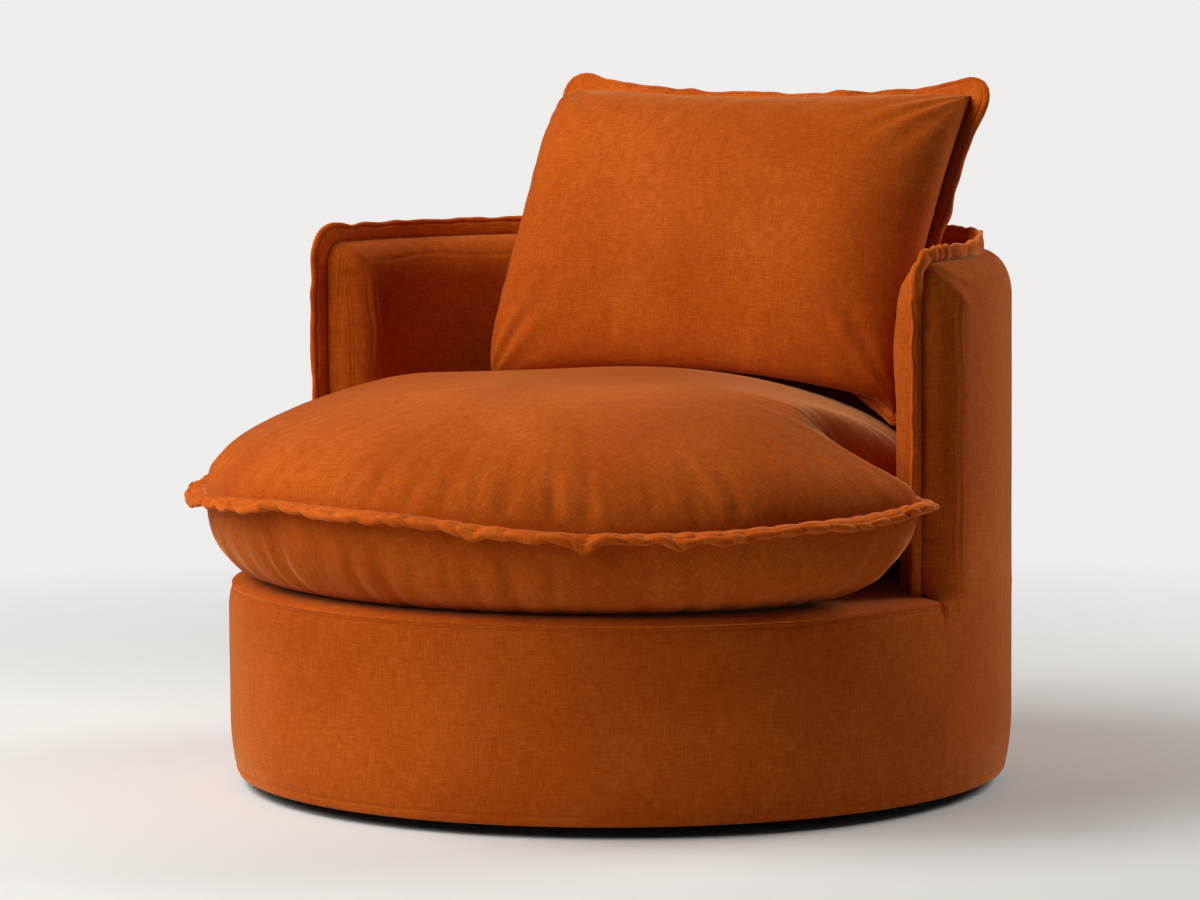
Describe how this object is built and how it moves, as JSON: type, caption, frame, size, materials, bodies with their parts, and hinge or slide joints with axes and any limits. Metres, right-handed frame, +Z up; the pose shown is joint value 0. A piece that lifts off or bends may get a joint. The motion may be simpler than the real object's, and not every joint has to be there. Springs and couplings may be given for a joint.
{
  "type": "cuddle chair",
  "caption": "Round swivel cuddle chair: a cloth-covered drum with a wrap-around wall, a loose round seat cushion and a loose back cushion, all with flanged seams.",
  "frame": {"origin": "on the floor, under the middle of the footprint; the swivel axis stands 26.5 mm behind it, at Y = +0.0265", "axes": "+Z up, the chair faces -Y, +X to the right of someone who looks at it from the front"},
  "size_m": [1.0718, 1.053, 0.889],
  "materials": {
    "velvet": "rust orange woven velvet",
    "velvet_folded": "the same velvet, folded",
    "plywood": "bare plywood",
    "hardboard": "bent hardboard",
    "foam": "open-cell foam",
    "wadding": "polyester wadding",
    "hessian": "plain woven cloth",
    "cambric": "black non-woven cloth",
    "black_paint": "matt black paint on board",
    "nylon": "moulded nylon",
    "zinc_steel": "zinc-plated steel",
    "spring_steel": "oiled spring wire"
  },
  "bodies": {
    "floor_base": {"plinth_board": "black_paint", "glide_1": "nylon", "glide_2": "nylon", "glide_3": "nylon", "glide_4": "nylon", "glide_5": "nylon", "lower_swivel_plate": "zinc_steel"},
    "ball_ring": {"ball_ring": "zinc_steel"},
    "chair_body": {"upper_swivel_plate": "zinc_steel", "plate_bolt_1": "zinc_steel", "plate_bolt_2": "zinc_steel", "plate_bolt_3": "zinc_steel", "plate_bolt_4": "zinc_steel", "base_board": "plywood", "base_post_1": "plywood", "base_post_2": "plywood", "base_post_3": "plywood", "base_post_4": "plywood", "seat_ring": "plywood", "wall_post_1": "plywood", "wall_post_2": "plywood", "wall_post_3": "plywood", "wall_post_4": "plywood", "top_rail": "plywood", "drum_panel": "hardboard", "wall_outer_panel": "hardboard", "wall_inner_panel": "hardboard", "dust_cover": "cambric", "zigzag_spring_1": "spring_steel", "zigzag_spring_2": "spring_steel", "zigzag_spring_3": "spring_steel", "zigzag_spring_4": "spring_steel", "zigzag_spring_5": "spring_steel", "front_clip_1": "zinc_steel", "front_clip_2": "zinc_steel", "front_clip_3": "zinc_steel", "front_clip_4": "zinc_steel", "front_clip_5": "zinc_steel", "rear_clip_1": "zinc_steel", "rear_clip_2": "zinc_steel", "rear_clip_3": "zinc_steel", "rear_clip_4": "zinc_steel", "rear_clip_5": "zinc_steel", "spring_sheet": "hessian", "deck_pad": "foam", "deck_cover": "velvet_folded", "inner_padding": "foam", "edge_roll": "foam", "outer_wadding": "wadding", "outer_cover": "velvet", "inner_cover": "velvet", "wall_flange": "velvet_folded"},
    "seat_cushion": {"seat_core": "foam", "seat_top_panel": "velvet", "seat_bottom_panel": "velvet", "seat_flange": "velvet_folded"},
    "back_cushion": {"back_filling": "wadding", "back_front_panel": "velvet", "back_rear_panel": "velvet", "back_flange": "velvet_folded"}
  },
  "joints": [
    {"name": "swivel_turn", "type": "hinge", "parent": "floor_base", "child": "chair_body", "pos_m": [0, 0.0265, 0], "axis": [0, 0, 1], "continuous": true},
    {"name": "ball_ring_turn", "type": "hinge", "parent": "floor_base", "child": "ball_ring", "pos_m": [0, 0.0265, 0], "axis": [0, 0, 1], "continuous": true},
    {"name": "seat_cushion_lift", "type": "slide", "parent": "chair_body", "child": "seat_cushion", "axis": [0, 0, 1], "range_m": [0, 0.45]},
    {"name": "back_cushion_lift", "type": "slide", "parent": "seat_cushion", "child": "back_cushion", "axis": [0, 0, 1], "range_m": [0, 0.3]}
  ],
  "couplings": [
    {"joint": "ball_ring_turn", "follows": "swivel_turn", "ratio": 0.5}
  ]
}
